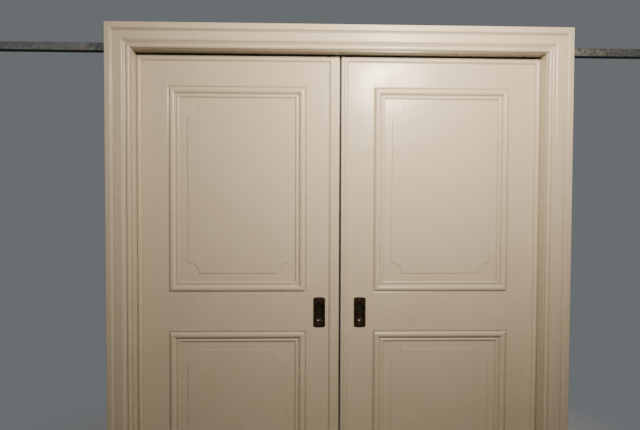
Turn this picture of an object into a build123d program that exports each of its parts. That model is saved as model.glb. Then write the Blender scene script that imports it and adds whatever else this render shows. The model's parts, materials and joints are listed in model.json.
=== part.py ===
from build123d import *
import os

# Double pocket doors in their frame, in millimetres.
# X runs across the doorway from its centre, Y through the wall from the middle of the leaves
# with the front towards -Y, and Z up from the floor.

# Opening between the jambs
opening_width = 1829.0
opening_height = 2140.0

# Leaves: a rail-and-stile frame round two panels
leaf_thickness = 44.0
leaf_head_gap = 6.0
leaf_floor_gap = 10.0
leaf_overlap = 14.0
meeting_gap = 4.0
leaf_travel = 780.0
meeting_stile_width = 150.0
outer_stile_width = 150.0
top_rail_width = 134.0
lock_rail_bottom = 888.0
lock_rail_width = 175.0
bottom_rail_width = 230.0
tenon_length = 50.0
tenon_thickness = 14.0
tenon_shoulder = 20.0
tenon_end_gap = 1.0

# Panels: a thick board with a tongue round it and a scooped raised field on each face
panel_recess = 8.0
panel_play = 1.0
tongue_length = 10.0
tongue_thickness = 10.0
tongue_side_gap = 0.2
groove_depth = 12.0
field_margin = 34.0
field_rise = 2.5
field_bevel = 2.0
scoop_radius = 50.0

# Panel moulding, from the opening's edge inwards
moulding_bevel_width = 4.8
moulding_quirk_width = 6.0
moulding_quirk_depth = 2.6
moulding_torus_width = 28.0
moulding_torus_crest = 8.0
moulding_torus_foot = -3.5
moulding_hollow_width = 4.0
moulding_bead_width = 12.0
moulding_bead_base = 4.0
moulding_bead_rise = 2.2
moulding_foot_width = 2.5

# Strips planted round the edges of each face of a leaf
strip_proud = 9.4
strip_flat_height = 7.0
strip_edge_radius = 5.0
strip_bead_width = 14.0
strip_slope_width = 5.5
strip_foot_height = 1.0
strip_meeting_setback = 2.0
strip_top_width = 25.0
strip_bottom_width = 25.0
strip_outer_width = 35.0
strip_meeting_width_right = 33.0
strip_meeting_width_left = 46.0

# Flush pulls
pull_inset = 91.0
pull_height = 972.0
pull_width = 54.0
pull_length = 139.0
pull_thickness = 2.2
pull_corner_radius = 6.5
pull_end_arch = 3.0
pull_edge_radius = 0.9
cup_width = 36.0
cup_length = 88.0
cup_depth = 11.0
cup_wall = 1.6
cup_floor_radius = 7.5
cup_clearance = 0.3
pull_screw_inset = 12.5
pull_screw_depth = 15.0

# Split jambs and head jambs
pocket_clearance = 2.6
jamb_width = 55.0
jamb_thickness = 20.0
jamb_arris_radius = 1.5

# Casing, from the outer edge inwards, with thicknesses off the wall
casing_reveal = 5.0
backband_width = 23.0
backband_thickness = 34.0
backband_ogee_width = 10.0
backband_ogee_drop = 9.8
backband_ogee_bulge = 1.1
backband_arris_radius = 3.0
fascia_width = 34.0
fascia_thickness = 22.0
casing_ogee_width = 16.5
casing_ogee_drop = 12.0
casing_ogee_bulge = 1.3
casing_quirk_width = 2.0
casing_quirk_depth = 1.2
casing_bead_width = 16.5
casing_bead_rise = 3.0
casing_bead_sag = 0.3
casing_edge_radius = 11.0

# Track and header
track_lift = 12.0
track_width = 38.0
track_height = 35.0
track_wall = 2.0
track_slot = 12.0
track_end_margin = 15.0
track_corner_radius = 2.0
header_thickness = 25.0
track_screw_pitch = 300.0
track_screw_count = 6
lintel_hole_inset = 150.0
lintel_hole_pitch = 400.0
lintel_hole_radius = 3.0

# Trolleys, wheels and hangers
wheel_radius = 13.0
wheel_width = 8.0
wheel_rail_gap = 0.3
wheel_side_gap = 0.8
wheel_recess_depth = 1.2
wheel_rim_width = 3.2
wheel_hub_radius = 5.5
wheel_chamfer = 0.8
axle_radius = 2.5
axle_clearance = 0.05
axle_head_radius = 4.0
axle_head_thickness = 1.2
trolley_length = 56.0
trolley_width = 11.0
trolley_rise = 10.0
trolley_rail_clearance = 1.0
trolley_nose_radius = 7.0
hanger_plate_length = 84.0
hanger_plate_width = 26.0
hanger_plate_thickness = 3.0
hanger_plate_corner = 4.0
bolt_radius = 4.0
bolt_hole_clearance = 0.3
thread_clearance = 0.05
bolt_end_gap = 0.8
hex_across_flats = 13.0
hex_head_height = 5.3
hex_nut_height = 6.5
head_pocket_clearance = 2.0

# Stops in the track and guides on the floor
stop_length = 18.0
stop_gap = 0.3
guide_plate_thickness = 3.0
guide_setback = 1.0
guide_fin_width = 6.0
guide_fin_rise = 12.0
guide_hole_spacing = 44.0
guide_hole_radius = 2.25
kerf_width = 8.0
kerf_depth = 16.0

# Wood screws: shank, countersunk head and pan head
screw_shank_radius = 1.9
screw_head_radius = 4.1
screw_tip_gap = 1.0
screw_length = 18.0
screw_clearance = 0.05
hanger_screw_offset = 31.0
pan_head_radius = 4.5
pan_head_height = 2.2
pan_head_round = 1.7

# Places worked out from the sizes above
half_opening = opening_width / 2
meeting_edge = meeting_gap / 2
outer_edge = half_opening + leaf_overlap
leaf_bottom = leaf_floor_gap
leaf_top = opening_height - leaf_head_gap
leaf_height = leaf_top - leaf_bottom
leaf_face = leaf_thickness / 2
panel_left = meeting_edge + meeting_stile_width
panel_right = outer_edge - outer_stile_width
lower_opening = (leaf_bottom + bottom_rail_width, lock_rail_bottom)
upper_opening = (lock_rail_bottom + lock_rail_width, leaf_top - top_rail_width)
panel_face = leaf_face - panel_recess
hex_corner_radius = hex_across_flats / 3 ** 0.5
moulding_width = (
    moulding_quirk_width + moulding_torus_width + moulding_hollow_width
    + moulding_bead_width + moulding_foot_width
)
slot_half = leaf_face + strip_proud + pocket_clearance
wall_face = slot_half + jamb_width
casing_width = (
    backband_width + backband_ogee_width + fascia_width
    + casing_ogee_width + casing_quirk_width + casing_bead_width
)
casing_inner = half_opening + casing_reveal
casing_foot = opening_height + casing_reveal
casing_outer = casing_inner + casing_width
casing_top = casing_foot + casing_width
track_bottom = opening_height + track_lift
track_top = track_bottom + track_height
rail_level = track_bottom + track_wall
axle_level = rail_level + wheel_rail_gap + wheel_radius
hanger_places = (meeting_edge + meeting_stile_width / 2, outer_edge - outer_stile_width / 2)
trolley_reach = trolley_length / 2
closed_stop = hanger_places[0] - trolley_reach - stop_gap - stop_length / 2
open_stop = hanger_places[1] + leaf_travel + trolley_reach + stop_gap + stop_length / 2
track_half_length = open_stop + stop_length / 2 + track_end_margin
header_half_length = half_opening + jamb_thickness
pull_centre = meeting_edge + pull_inset
wheel_inner_face = trolley_width / 2 + wheel_side_gap
wheel_outer_face = wheel_inner_face + wheel_width

# Directions across the front of the doors
RIGHT = Vector(1, 0, 0)
UP = Vector(0, 0, 1)


def save(piece, name):
    """Label one sub-part and write it to its own file."""
    piece.label = name
    export_step(piece, f"parts/{name}.step")


def group(pieces):
    """Several separate solids that belong to one sub-part."""
    return Compound(children=[solid for piece in pieces for solid in piece.solids()])


# Sections of the trim: u runs inwards from the outer edge, v out of the face

def ogee(start, end, bulge):
    """Two arcs that meet half way: the first bulges out of the face, the second into it."""
    run = (end[0] - start[0]) / 4
    drop = (start[1] - end[1]) / 4
    middle = (start[0] + 2 * run, start[1] - 2 * drop)
    ThreePointArc(start, (start[0] + run, start[1] - drop + bulge), middle)
    ThreePointArc(middle, (end[0] - run, end[1] + drop - bulge), end)


def panel_moulding_section():
    """A bevel into a quirk, a broad torus, a hollow, a bead and a foot, on the panel's margin."""
    base = -panel_recess
    torus_start = moulding_quirk_width
    torus_end = torus_start + moulding_torus_width
    bead_start = torus_end + moulding_hollow_width
    bead_end = bead_start + moulding_bead_width
    bead_base = base + moulding_bead_base
    with BuildSketch() as section:
        with BuildLine():
            Polyline((moulding_width, base), (0, base), (0, 0))
            Polyline((0, 0), (moulding_bevel_width, -moulding_quirk_depth), (torus_start, 0))
            ThreePointArc(
                (torus_start, 0),
                ((torus_start + torus_end) / 2, moulding_torus_crest),
                (torus_end, moulding_torus_foot),
            )
            Line((torus_end, moulding_torus_foot), (bead_start, bead_base))
            ThreePointArc(
                (bead_start, bead_base),
                ((bead_start + bead_end) / 2, bead_base + moulding_bead_rise),
                (bead_end, bead_base),
            )
            Line((bead_end, bead_base), (moulding_width, base))
        make_face()
    return section.sketch


def strip_section(width):
    """A rounded edge, a flat, a low bead and a slope down to the leaf's face."""
    bead_end = width - strip_slope_width
    bead_start = bead_end - strip_bead_width
    edge_height = strip_flat_height - strip_edge_radius
    with BuildSketch() as section:
        with BuildLine():
            Polyline((width, strip_foot_height), (width, 0), (0, 0), (0, edge_height))
            RadiusArc((0, edge_height), (strip_edge_radius, strip_flat_height), strip_edge_radius)
            Line((strip_edge_radius, strip_flat_height), (bead_start, strip_flat_height))
            ThreePointArc(
                (bead_start, strip_flat_height),
                (bead_start + strip_bead_width / 2, strip_proud),
                (bead_end, strip_flat_height),
            )
            Line((bead_end, strip_flat_height), (width, strip_foot_height))
        make_face()
    return section.sketch


def backband_section():
    """An L that wraps the casing's outer edge, with an ogee down to the fascia."""
    lip = backband_width + backband_ogee_width
    ogee_foot = backband_thickness - backband_ogee_drop
    shoulder = backband_thickness - backband_arris_radius
    with BuildSketch() as section:
        with BuildLine():
            Line((0, 0), (0, shoulder))
            RadiusArc((0, shoulder), (backband_arris_radius, backband_thickness), backband_arris_radius)
            Line((backband_arris_radius, backband_thickness), (backband_width, backband_thickness))
            ogee((backband_width, backband_thickness), (lip, ogee_foot), backband_ogee_bulge)
            Polyline(
                (lip, ogee_foot), (lip, fascia_thickness), (backband_width, fascia_thickness),
                (backband_width, 0), (0, 0),
            )
        make_face()
    return section.sketch


def casing_section():
    """A flat fascia, an ogee, a quirk and a bead that rounds over to the jamb."""
    fascia_end = backband_width + backband_ogee_width + fascia_width
    ogee_end = fascia_end + casing_ogee_width
    ogee_foot = fascia_thickness - casing_ogee_drop
    quirk_end = ogee_end + casing_quirk_width
    bead_crest = ogee_foot + casing_bead_rise
    bead_end = casing_width - casing_edge_radius
    edge_thickness = bead_crest - casing_edge_radius
    with BuildSketch() as section:
        with BuildLine():
            Polyline(
                (casing_width, edge_thickness), (casing_width, 0), (backband_width, 0),
                (backband_width, fascia_thickness), (fascia_end, fascia_thickness),
            )
            ogee((fascia_end, fascia_thickness), (ogee_end, ogee_foot), casing_ogee_bulge)
            Polyline(
                (ogee_end, ogee_foot),
                (ogee_end + casing_quirk_width / 2, ogee_foot - casing_quirk_depth),
                (quirk_end, ogee_foot),
            )
            ThreePointArc(
                (quirk_end, ogee_foot),
                ((quirk_end + bead_end) / 2, bead_crest - casing_bead_sag),
                (bead_end, bead_crest),
            )
            RadiusArc((bead_end, bead_crest), (casing_width, edge_thickness), casing_edge_radius)
        make_face()
    return section.sketch


def trim_length(section, start, end, inward, mitre_start=None, mitre_end=None):
    """A straight length of trim from one outer corner to the next. Each end is mitred at 45
    degrees through the inner corner given for it, or left square."""
    run = (end - start).normalized()
    with BuildPart() as piece:
        with BuildSketch(Plane(origin=start, x_dir=inward, z_dir=run)):
            add(section)
        extrude(amount=(end - start).length)
        if mitre_start:
            split(bisect_by=Plane(origin=mitre_start, z_dir=run - inward), keep=Keep.TOP)
        if mitre_end:
            split(bisect_by=Plane(origin=mitre_end, z_dir=-run - inward), keep=Keep.TOP)
    return piece.part


def trim_frame(left, right, bottom, top, face, widths, section):
    """Four mitred lengths round a rectangle on a front face. widths are those of the left,
    right, bottom and top lengths, and section draws the trim for a width."""
    w_left, w_right, w_bottom, w_top = widths
    places = [(left, top), (left, bottom), (right, bottom), (right, top)]
    insets = [(w_left, -w_top), (w_left, w_bottom), (-w_right, w_bottom), (-w_right, -w_top)]
    corners = [Vector(x, -face, z) for x, z in places]
    inner = [corner + Vector(across, 0, up) for corner, (across, up) in zip(corners, insets)]
    inwards = [RIGHT, UP, -RIGHT, -UP]
    side_widths = [w_left, w_bottom, w_right, w_top]
    lengths = []
    for i in range(4):
        j = (i + 1) % 4
        lengths.append(trim_length(
            section(side_widths[i]), corners[i], corners[j], inwards[i], inner[i], inner[j]
        ))
    return lengths


# The right leaf. The left one is its mirror image apart from the meeting strips.

def rail(bottom, width, groove_above, groove_below, kerf=False):
    """A rail with a stub tenon at each end and a panel groove along its edges."""
    length = panel_right - panel_left
    middle = (panel_left + panel_right) / 2
    centre = bottom + width / 2
    groove_width = tongue_thickness + 2 * tongue_side_gap
    with BuildPart() as piece:
        with BuildSketch(Plane.XZ):
            with Locations((middle, centre)):
                Rectangle(length, width)
        extrude(amount=leaf_face, both=True)
        with BuildSketch(Plane.XZ):
            with Locations((middle, centre)):
                Rectangle(length + 2 * tenon_length, width - 2 * tenon_shoulder)
        extrude(amount=tenon_thickness / 2, both=True)
        if groove_above:
            with BuildSketch(Plane.YZ.offset(panel_left)):
                with Locations((0, bottom + width - groove_depth / 2)):
                    Rectangle(groove_width, groove_depth)
            extrude(amount=length, mode=Mode.SUBTRACT)
        if groove_below:
            with BuildSketch(Plane.YZ.offset(panel_left)):
                with Locations((0, bottom + groove_depth / 2)):
                    Rectangle(groove_width, groove_depth)
            extrude(amount=length, mode=Mode.SUBTRACT)
        if kerf:
            with BuildSketch(Plane.YZ.offset(panel_left)):
                with Locations((0, bottom + kerf_depth / 2)):
                    Rectangle(kerf_width, kerf_depth)
            extrude(amount=length, mode=Mode.SUBTRACT)
    return piece.part


def stile(edge, inner, hanger_place):
    """A stile from a leaf's edge to its panels, mortised for the rails, grooved for the panels,
    kerfed for the floor guide and pocketed for the hanger bolt's head."""
    width = abs(edge - inner)
    side = 1 if edge > inner else -1
    groove_width = tongue_thickness + 2 * tongue_side_gap
    mortise_depth = tenon_length + tenon_end_gap
    rails = ((leaf_bottom, bottom_rail_width), (lock_rail_bottom, lock_rail_width),
             (leaf_top - top_rail_width, top_rail_width))
    with BuildPart() as piece:
        with BuildSketch(Plane.XY.offset(leaf_bottom)):
            with Locations(((edge + inner) / 2, 0)):
                Rectangle(width, leaf_thickness)
        extrude(amount=leaf_height)
        with BuildSketch(Plane.XZ):
            for bottom, rail_width in rails:
                with Locations((inner + side * mortise_depth / 2, bottom + rail_width / 2)):
                    Rectangle(mortise_depth, rail_width - 2 * tenon_shoulder)
        extrude(amount=tenon_thickness / 2, both=True, mode=Mode.SUBTRACT)
        with BuildSketch(Plane.XZ):
            for low, high in (lower_opening, upper_opening):
                with Locations((inner + side * groove_depth / 2, (low + high) / 2)):
                    Rectangle(groove_depth, high - low + 2 * groove_depth)
        extrude(amount=groove_width / 2, both=True, mode=Mode.SUBTRACT)
        with BuildSketch(Plane.XY.offset(leaf_bottom)):
            with Locations(((edge + inner) / 2, 0)):
                Rectangle(width, kerf_width)
        extrude(amount=kerf_depth, mode=Mode.SUBTRACT)
        with BuildSketch(Plane.XY.offset(leaf_top)):
            with Locations((hanger_place, 0)):
                Circle(hex_corner_radius + head_pocket_clearance)
        extrude(amount=-(hex_head_height + head_pocket_clearance), mode=Mode.SUBTRACT)
        with BuildSketch(Plane.XY.offset(leaf_top)):
            with Locations(*hanger_screw_places(hanger_place)):
                Circle(screw_shank_radius + screw_clearance)
        extrude(amount=-screw_length, mode=Mode.SUBTRACT)
    return piece.part


def hanger_screw_places(hanger_place):
    """The two screws through one hanger plate."""
    return [(hanger_place - hanger_screw_offset, 0), (hanger_place + hanger_screw_offset, 0)]


def outer_stile():
    return stile(outer_edge, panel_right, hanger_places[1])


def meeting_stile():
    """The meeting stile also holds the flush pulls, one let into each face."""
    blank = stile(meeting_edge, panel_left, hanger_places[0])
    pocket_depth = cup_depth + cup_wall + cup_clearance
    with BuildPart() as piece:
        add(blank)
        with BuildSketch(Plane.XZ.offset(leaf_face)):
            with Locations((pull_centre, pull_height)):
                SlotOverall(
                    cup_length + 2 * (cup_wall + cup_clearance),
                    cup_width + 2 * (cup_wall + cup_clearance),
                    rotation=90,
                )
        pocket = extrude(amount=-pocket_depth, mode=Mode.SUBTRACT)
        with BuildSketch(Plane.XZ.offset(leaf_face)):
            with Locations(*pull_screw_places()):
                Circle(screw_shank_radius + screw_clearance)
        holes = extrude(amount=-pull_screw_depth, mode=Mode.SUBTRACT)
        mirror(pocket, about=Plane.XZ, mode=Mode.SUBTRACT)
        mirror(holes, about=Plane.XZ, mode=Mode.SUBTRACT)
    return piece.part


def pull_screw_places():
    """The two screws of one pull, across and up its face."""
    reach = pull_length / 2 - pull_screw_inset
    return [(pull_centre, pull_height - reach), (pull_centre, pull_height + reach)]


def top_rail():
    return rail(leaf_top - top_rail_width, top_rail_width, False, True)


def lock_rail():
    return rail(lock_rail_bottom, lock_rail_width, True, True)


def bottom_rail():
    return rail(leaf_bottom, bottom_rail_width, True, False, kerf=True)


def panel(low, high):
    """A panel tongued into its grooves, with a raised field on both faces whose corners are
    scooped out in quarter circles."""
    width = panel_right - panel_left
    height = high - low
    place = ((panel_left + panel_right) / 2, (low + high) / 2)
    field_inset = moulding_width + field_margin
    field_width = width - 2 * field_inset
    field_height = height - 2 * field_inset
    with BuildPart() as piece:
        with BuildSketch(Plane.XZ):
            with Locations(place):
                Rectangle(width + 2 * tongue_length, height + 2 * tongue_length)
        extrude(amount=tongue_thickness / 2, both=True)
        with BuildSketch(Plane.XZ):
            with Locations(place):
                Rectangle(width - 2 * panel_play, height - 2 * panel_play)
        extrude(amount=panel_face, both=True)
        with BuildSketch(Plane.XZ.offset(panel_face)):
            with Locations(place):
                Rectangle(field_width, field_height)
                with GridLocations(field_width, field_height, 2, 2):
                    Circle(scoop_radius, mode=Mode.SUBTRACT)
        field = extrude(amount=field_rise)
        chamfer(piece.faces().sort_by(Axis.Y)[0].edges(), field_bevel)
        mirror(field, about=Plane.XZ)
        chamfer(piece.faces().sort_by(Axis.Y)[-1].edges(), field_bevel)
    return piece.part


def upper_panel():
    return panel(*upper_opening)


def lower_panel():
    return panel(*lower_opening)


def panel_mouldings():
    """The mitred mouldings round both panels on the front face."""
    widths = [moulding_width] * 4
    lengths = []
    for low, high in (lower_opening, upper_opening):
        lengths += trim_frame(
            panel_left, panel_right, low, high, leaf_face, widths, lambda width: panel_moulding_section()
        )
    return group(lengths)


def edge_strips(meeting_width):
    """The four mitred strips round the front face of a leaf."""
    widths = [meeting_width, strip_outer_width, strip_bottom_width, strip_top_width]
    return group(trim_frame(
        meeting_edge + strip_meeting_setback, outer_edge, leaf_bottom, leaf_top, leaf_face,
        widths, strip_section,
    ))


def flush_pull():
    """A pressed pull: a plate with arched ends round a deep cup with round ends."""
    half_width = pull_width / 2
    half_length = pull_length / 2
    shoulder = half_length - pull_end_arch
    with BuildPart() as piece:
        with BuildSketch(Plane.XZ.offset(leaf_face)) as plate:
            with Locations((pull_centre, pull_height)):
                with BuildLine(mode=Mode.PRIVATE) as outline:
                    ThreePointArc((-half_width, shoulder), (0, half_length), (half_width, shoulder))
                    Line((half_width, shoulder), (half_width, -shoulder))
                    ThreePointArc((half_width, -shoulder), (0, -half_length), (-half_width, -shoulder))
                    Line((-half_width, -shoulder), (-half_width, shoulder))
                add(make_face(outline.edges(), mode=Mode.PRIVATE))
            fillet(plate.vertices(), pull_corner_radius)
        extrude(amount=pull_thickness)
        fillet(piece.faces().sort_by(Axis.Y)[0].edges(), pull_edge_radius)
        with BuildSketch(Plane.XZ.offset(leaf_face)):
            with Locations((pull_centre, pull_height)):
                SlotOverall(cup_length + 2 * cup_wall, cup_width + 2 * cup_wall, rotation=90)
        extrude(amount=-(cup_depth + cup_wall))
        fillet(piece.faces().sort_by(Axis.Y)[-1].edges(), cup_floor_radius + cup_wall)
        with BuildPart(mode=Mode.PRIVATE) as hollow:
            with BuildSketch(Plane.XZ.offset(leaf_face - cup_depth)):
                with Locations((pull_centre, pull_height)):
                    SlotOverall(cup_length, cup_width, rotation=90)
            extrude(amount=cup_depth + pull_thickness)
            fillet(hollow.faces().sort_by(Axis.Y)[-1].edges(), cup_floor_radius)
        add(hollow.part, mode=Mode.SUBTRACT)
        with BuildSketch(Plane.XZ.offset(leaf_face)):
            with Locations(*pull_screw_places()):
                Circle(screw_shank_radius + screw_clearance)
        extrude(amount=pull_thickness, mode=Mode.SUBTRACT)
    return piece.part


def pull_screws():
    """Domed screws through the front pull."""
    head_face = leaf_face + pull_thickness
    with BuildPart() as piece:
        with BuildSketch(Plane.XZ.offset(head_face)):
            with Locations(*pull_screw_places()):
                Circle(pan_head_radius)
        extrude(amount=pan_head_height)
        fillet(piece.faces().sort_by(Axis.Y)[:2].edges(), pan_head_round)
        with BuildSketch(Plane.XZ.offset(head_face)):
            with Locations(*pull_screw_places()):
                Circle(screw_shank_radius)
        extrude(amount=-(pull_screw_depth + pull_thickness - screw_tip_gap))
    return piece.part


# What the leaf hangs from

def hanger_plates():
    """A plate screwed to the top of each stile, with the hanger bolt through it."""
    with BuildPart() as piece:
        with BuildSketch(Plane.XY.offset(leaf_top)):
            for place in hanger_places:
                with Locations((place, 0)):
                    RectangleRounded(hanger_plate_length, hanger_plate_width, hanger_plate_corner)
                    Circle(bolt_radius + bolt_hole_clearance, mode=Mode.SUBTRACT)
        extrude(amount=hanger_plate_thickness)
        top = leaf_top + hanger_plate_thickness
        for place in hanger_places:
            with Locations(*[(x, y, top) for x, y in hanger_screw_places(place)]):
                CounterSinkHole(
                    screw_shank_radius + screw_clearance, screw_head_radius + screw_clearance,
                    depth=hanger_plate_thickness,
                )
    return piece.part


def hanger_screws():
    """Countersunk screws, flush with the plates."""
    top = leaf_top + hanger_plate_thickness
    with BuildPart() as piece:
        for place in hanger_places:
            for x, y in hanger_screw_places(place):
                with BuildSketch(Plane.XY.offset(top)):
                    with Locations((x, y)):
                        Circle(screw_head_radius)
                extrude(amount=-(screw_head_radius - screw_shank_radius), taper=45)
                with BuildSketch(Plane.XY.offset(top)):
                    with Locations((x, y)):
                        Circle(screw_shank_radius)
                extrude(amount=-(screw_length + hanger_plate_thickness - screw_tip_gap))
    return piece.part


def hanger_bolts():
    """Bolts with their heads under the plates, screwed up into the trolleys, and lock nuts."""
    nut_base = leaf_top + hanger_plate_thickness
    bolt_end = axle_level - axle_radius - bolt_end_gap
    with BuildPart() as bolts:
        with BuildSketch(Plane.XY.offset(leaf_top - hex_head_height)):
            for place in hanger_places:
                with Locations((place, 0)):
                    RegularPolygon(hex_across_flats / 2, 6, major_radius=False)
        extrude(amount=hex_head_height)
        with BuildSketch(Plane.XY.offset(leaf_top)):
            for place in hanger_places:
                with Locations((place, 0)):
                    Circle(bolt_radius)
        extrude(amount=bolt_end - leaf_top)
    with BuildPart() as nuts:
        with BuildSketch(Plane.XY.offset(nut_base)):
            for place in hanger_places:
                with Locations((place, 0)):
                    RegularPolygon(hex_across_flats / 2, 6, major_radius=False)
                    Circle(bolt_radius + thread_clearance, mode=Mode.SUBTRACT)
        extrude(amount=hex_nut_height)
    return group([bolts.part, nuts.part])


def trolleys():
    """A cast block over each hanger bolt, with a riveted axle across it."""
    base = rail_level + trolley_rail_clearance
    with BuildPart() as blocks:
        with BuildSketch(Plane.XZ):
            for place in hanger_places:
                with Locations((place, (base + axle_level + trolley_rise) / 2)):
                    RectangleRounded(
                        trolley_length, axle_level + trolley_rise - base, trolley_nose_radius
                    )
        extrude(amount=trolley_width / 2, both=True)
        with BuildSketch(Plane.XZ):
            for place in hanger_places:
                with Locations((place, axle_level)):
                    Circle(axle_radius + thread_clearance)
        extrude(amount=trolley_width / 2, both=True, mode=Mode.SUBTRACT)
        with BuildSketch(Plane.XY.offset(base)):
            for place in hanger_places:
                with Locations((place, 0)):
                    Circle(bolt_radius + thread_clearance)
        extrude(amount=axle_level - base - axle_radius - bolt_end_gap, mode=Mode.SUBTRACT)
    with BuildPart() as axles:
        with BuildSketch(Plane.XZ):
            for place in hanger_places:
                with Locations((place, axle_level)):
                    Circle(axle_radius)
        extrude(amount=wheel_outer_face + wheel_side_gap / 2, both=True)
        with BuildSketch(Plane.XZ.offset(wheel_outer_face + wheel_side_gap / 2)):
            for place in hanger_places:
                with Locations((place, axle_level)):
                    Circle(axle_head_radius)
        heads = extrude(amount=axle_head_thickness)
        mirror(heads, about=Plane.XZ)
    return group([blocks.part, axles.part])


def wheels(place):
    """A pair of moulded wheels, one each side of a trolley, dished between hub and rim."""
    with BuildPart() as piece:
        with BuildSketch(Plane.XZ.offset(wheel_inner_face)):
            with Locations((place, axle_level)):
                Circle(wheel_radius)
                Circle(axle_radius + axle_clearance, mode=Mode.SUBTRACT)
        extrude(amount=wheel_width)
        rims = piece.edges().filter_by(GeomType.CIRCLE).sort_by(SortBy.RADIUS)[-2:]
        chamfer(rims, wheel_chamfer)
        with BuildSketch(Plane.XZ.offset(wheel_outer_face)):
            with Locations((place, axle_level)):
                Circle(wheel_radius - wheel_rim_width)
                Circle(wheel_hub_radius, mode=Mode.SUBTRACT)
        extrude(amount=-wheel_recess_depth, mode=Mode.SUBTRACT)
    return group([piece.part, mirror(piece.part, about=Plane.XZ)])


# The frame

def jamb():
    """The right front half of the split jamb, a board up to the header."""
    with BuildPart() as piece:
        with BuildSketch():
            with Locations((half_opening + jamb_thickness / 2, -(slot_half + wall_face) / 2)):
                Rectangle(jamb_thickness, jamb_width)
        extrude(amount=track_top)
        edges = piece.edges().filter_by(Axis.Z).group_by(Axis.X)[0].sort_by(Axis.Y)
        fillet(edges[-1], jamb_arris_radius)
    return piece.part


def head_jamb():
    """The front half of the split head, between the jambs."""
    with BuildPart() as piece:
        with BuildSketch(Plane.YZ.offset(-half_opening)):
            with Locations((-(slot_half + wall_face) / 2, opening_height + jamb_thickness / 2)):
                Rectangle(jamb_width, jamb_thickness)
        extrude(amount=opening_width)
    return piece.part


def casing_leg(section):
    """The right leg of the front casing, square on the floor and mitred at the head."""
    foot = Vector(casing_outer, -wall_face, 0)
    corner = Vector(casing_outer, -wall_face, casing_top)
    mitre = Vector(casing_inner, -wall_face, casing_foot)
    return trim_length(section, foot, corner, -RIGHT, mitre_end=mitre)


def casing_head(section):
    """The head of the front casing, mitred at both ends."""
    right_corner = Vector(casing_outer, -wall_face, casing_top)
    left_corner = Vector(-casing_outer, -wall_face, casing_top)
    right_mitre = Vector(casing_inner, -wall_face, casing_foot)
    left_mitre = Vector(-casing_inner, -wall_face, casing_foot)
    return trim_length(section, right_corner, left_corner, -UP, right_mitre, left_mitre)


def backbands():
    """The backband's two legs and head."""
    leg = casing_leg(backband_section())
    return group([leg, mirror(leg, about=Plane.YZ), casing_head(backband_section())])


def header():
    """The board over the track, which carries it."""
    with BuildPart() as piece:
        with BuildSketch(Plane.XY.offset(track_top)):
            Rectangle(2 * header_half_length, 2 * wall_face)
        extrude(amount=header_thickness)
        with BuildSketch(Plane.XY.offset(track_top)):
            with Locations(*track_screw_places()):
                Circle(screw_shank_radius + screw_clearance)
        extrude(amount=screw_length, mode=Mode.SUBTRACT)
    return piece.part


def track_screw_places():
    """Screws along the track under the header."""
    middle = (track_screw_count - 1) / 2
    return [((i - middle) * track_screw_pitch, 0) for i in range(track_screw_count)]


def lintel_hole_places():
    """Holes in the track beyond the frame, for the wall's own lintel."""
    first = header_half_length + lintel_hole_inset
    return [(side * (first + i * lintel_hole_pitch), 0) for side in (-1, 1) for i in (0, 1)]


def track():
    """A box track, open along its underside, with screw holes through its top."""
    inner_width = track_width - 2 * track_wall
    with BuildPart() as piece:
        with BuildSketch(Plane.YZ.offset(-track_half_length)) as section:
            with Locations((0, track_bottom + track_height / 2)):
                RectangleRounded(track_width, track_height, track_corner_radius)
                Rectangle(inner_width, track_height - 2 * track_wall, mode=Mode.SUBTRACT)
            with Locations((0, track_bottom + track_wall / 2)):
                Rectangle(track_slot, track_wall, mode=Mode.SUBTRACT)
        extrude(amount=2 * track_half_length)
        with BuildSketch(Plane.XY.offset(track_top)):
            with Locations(*track_screw_places()):
                Circle(screw_shank_radius + screw_clearance)
            with Locations(*lintel_hole_places()):
                Circle(lintel_hole_radius)
        extrude(amount=-track_wall, mode=Mode.SUBTRACT)
    return piece.part


def track_screws():
    """Pan-headed screws that hold the track up to the header."""
    head_top = track_top - track_wall
    with BuildPart() as piece:
        with BuildSketch(Plane.XY.offset(head_top - pan_head_height)):
            with Locations(*track_screw_places()):
                Circle(pan_head_radius)
        extrude(amount=pan_head_height)
        with BuildSketch(Plane.XY.offset(head_top)):
            with Locations(*track_screw_places()):
                Circle(screw_shank_radius)
        extrude(amount=track_wall + screw_length - screw_tip_gap)
    return piece.part


def track_stops():
    """Four blocks wedged in the track: two between the closed leaves' trolleys and one at the
    end of each leaf's travel."""
    inner_height = track_height - 2 * track_wall
    places = [(side * place, 0) for side in (-1, 1) for place in (closed_stop, open_stop)]
    with BuildPart() as piece:
        with BuildSketch(Plane.XY.offset(rail_level)):
            with Locations(*places):
                Rectangle(stop_length, track_width - 2 * track_wall)
        extrude(amount=inner_height)
    return piece.part


def floor_guides():
    """A plate between the split jambs in each pocket's mouth, with a fin up the leaf's kerf."""
    length = jamb_thickness - 2 * guide_setback
    fin_top = leaf_bottom + guide_fin_rise
    places = [(side * (half_opening + jamb_thickness / 2), 0) for side in (-1, 1)]
    with BuildPart() as piece:
        with BuildSketch():
            with Locations(*places):
                Rectangle(length, 2 * slot_half)
                with GridLocations(0, guide_hole_spacing, 1, 2):
                    Circle(guide_hole_radius, mode=Mode.SUBTRACT)
        extrude(amount=guide_plate_thickness)
        with BuildSketch(Plane.XY.offset(guide_plate_thickness)):
            with Locations(*places):
                Rectangle(length, guide_fin_width)
        extrude(amount=fin_top - guide_plate_thickness)
    return piece.part


def back(piece):
    """The same piece on the back."""
    return mirror(piece, about=Plane.XZ)


def left(piece):
    """The same piece on the left."""
    return mirror(piece, about=Plane.YZ)


os.makedirs("parts", exist_ok=True)

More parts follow.
